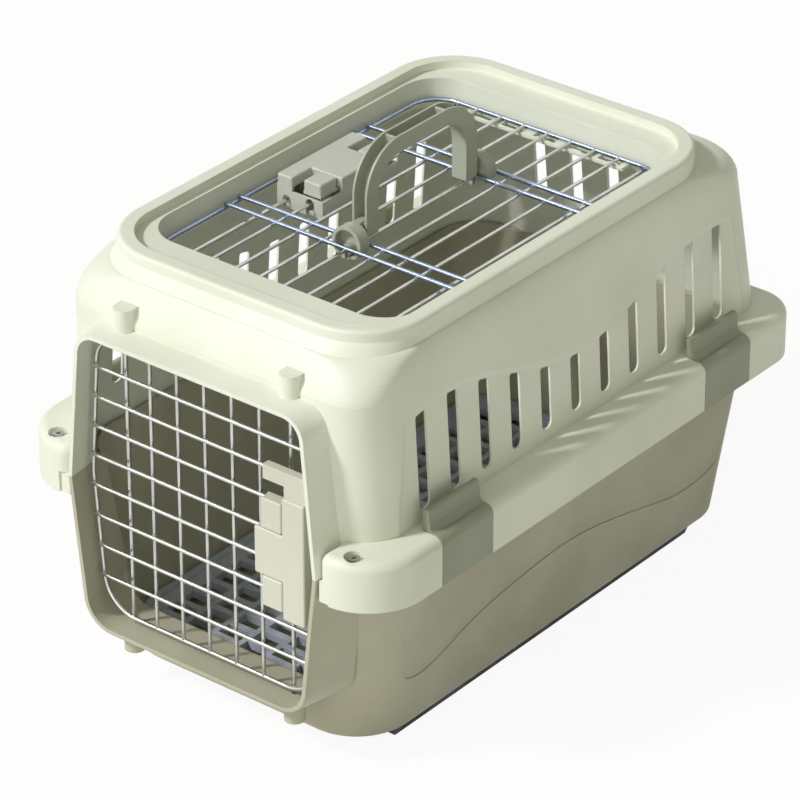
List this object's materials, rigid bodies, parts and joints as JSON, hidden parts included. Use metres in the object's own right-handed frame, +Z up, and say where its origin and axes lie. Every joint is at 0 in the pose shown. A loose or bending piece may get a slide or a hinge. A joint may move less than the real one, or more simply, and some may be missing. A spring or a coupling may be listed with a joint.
{
  "type": "pet carrier",
  "caption": "Plastic pet carrier with a wire front door, a wire roof door, side clips and a folding carry handle.",
  "frame": {"origin": "under the middle of the carrier, on the surface that it stands on", "axes": "+X to the right side seen from the door, +Y from the front door to the rear, +Z up"},
  "size_m": [0.3254, 0.49, 0.3725],
  "materials": {
    "shell_plastic": "fine grain, satin",
    "tray_plastic": "fine grain, satin",
    "clip_plastic": "satin",
    "handle_plastic": "satin",
    "door_latch_plastic": "satin",
    "roof_latch_plastic": "satin",
    "grate_plastic": "satin",
    "foot_rubber": "matte",
    "bright_wire": "bright",
    "screw_steel": "satin",
    "spring_steel": "satin"
  },
  "bodies": {
    "carrier_body": {"base_shell": "tray_plastic", "top_shell": "shell_plastic", "runner_left": "foot_rubber", "runner_right": "foot_rubber", "ear_screws": "screw_steel"},
    "front_door": {"door_frame_wire": "bright_wire", "door_cross_wires": "bright_wire", "door_upright_wires": "bright_wire", "door_hinge_rod": "bright_wire", "door_latch_housing": "door_latch_plastic", "door_latch_back": "door_latch_plastic", "door_latch_screws": "screw_steel", "door_spring_upper": "spring_steel", "door_spring_lower": "spring_steel"},
    "door_bolt_upper": {"door_slider_upper": "door_latch_plastic", "door_bolt_upper": "bright_wire"},
    "door_bolt_lower": {"door_slider_lower": "door_latch_plastic", "door_bolt_lower": "bright_wire"},
    "roof_door": {"roof_frame_wire": "bright_wire", "roof_long_wires": "bright_wire", "roof_cross_wires": "bright_wire", "roof_hinge_rod": "bright_wire", "roof_latch_housing": "roof_latch_plastic", "roof_latch_back": "roof_latch_plastic", "roof_latch_screws": "screw_steel", "roof_spring_front": "spring_steel", "roof_spring_rear": "spring_steel"},
    "roof_bolt_front": {"roof_slider_front": "roof_latch_plastic", "roof_bolt_front": "bright_wire"},
    "roof_bolt_rear": {"roof_slider_rear": "roof_latch_plastic", "roof_bolt_rear": "bright_wire"},
    "carry_handle": {"carry_handle": "handle_plastic"},
    "floor_grate": {"floor_grate": "grate_plastic"},
    "clip_front_left": {"clip_front_left": "clip_plastic"},
    "clip_front_right": {"clip_front_right": "clip_plastic"},
    "clip_rear_left": {"clip_rear_left": "clip_plastic"},
    "clip_rear_right": {"clip_rear_right": "clip_plastic"}
  },
  "joints": [
    {"name": "clip_front_left_hinge", "type": "hinge", "parent": "carrier_body", "child": "clip_front_left", "pos_m": [-0.1557, -0.15, 0.1505], "axis": [0, -1, 0], "range_deg": [0, 70]},
    {"name": "clip_front_right_hinge", "type": "hinge", "parent": "carrier_body", "child": "clip_front_right", "pos_m": [0.1557, -0.15, 0.1505], "axis": [0, 1, 0], "range_deg": [0, 70]},
    {"name": "clip_rear_left_hinge", "type": "hinge", "parent": "carrier_body", "child": "clip_rear_left", "pos_m": [-0.1557, 0.15, 0.1505], "axis": [0, -1, 0], "range_deg": [0, 70]},
    {"name": "clip_rear_right_hinge", "type": "hinge", "parent": "carrier_body", "child": "clip_rear_right", "pos_m": [0.1557, 0.15, 0.1505], "axis": [0, 1, 0], "range_deg": [0, 70]},
    {"name": "front_door_hinge", "type": "hinge", "parent": "carrier_body", "child": "front_door", "pos_m": [-0.072, -0.2244, 0.162], "axis": [0, 0, -1], "range_deg": [0, 110]},
    {"name": "door_bolt_upper_slide", "type": "slide", "parent": "front_door", "child": "door_bolt_upper", "axis": [0, 0, 1], "range_m": [0, 0.01], "stiffness_N_per_m": 120, "springref_m": 0.01, "deforming": ["door_spring_upper"]},
    {"name": "door_bolt_lower_slide", "type": "slide", "parent": "front_door", "child": "door_bolt_lower", "axis": [0, 0, -1], "range_m": [0, 0.01], "stiffness_N_per_m": 120, "springref_m": 0.01, "deforming": ["door_spring_lower"]},
    {"name": "roof_door_hinge", "type": "hinge", "parent": "carrier_body", "child": "roof_door", "pos_m": [0.084, 0, 0.3006], "axis": [0, 1, 0], "range_deg": [0, 85]},
    {"name": "roof_bolt_front_slide", "type": "slide", "parent": "roof_door", "child": "roof_bolt_front", "axis": [0, -1, 0], "range_m": [0, 0.01], "stiffness_N_per_m": 120, "springref_m": 0.01},
    {"name": "roof_bolt_rear_slide", "type": "slide", "parent": "roof_door", "child": "roof_bolt_rear", "axis": [0, 1, 0], "range_m": [0, 0.01], "stiffness_N_per_m": 120, "springref_m": 0.01},
    {"name": "carry_handle_hinge", "type": "hinge", "parent": "roof_door", "child": "carry_handle", "pos_m": [0, 0, 0.3035], "axis": [0, 1, 0], "range_deg": [-50, 50]},
    {"name": "floor_grate_lift", "type": "slide", "parent": "carrier_body", "child": "floor_grate", "axis": [0, 0, 1], "range_m": [0, 0.05]}
  ]
}
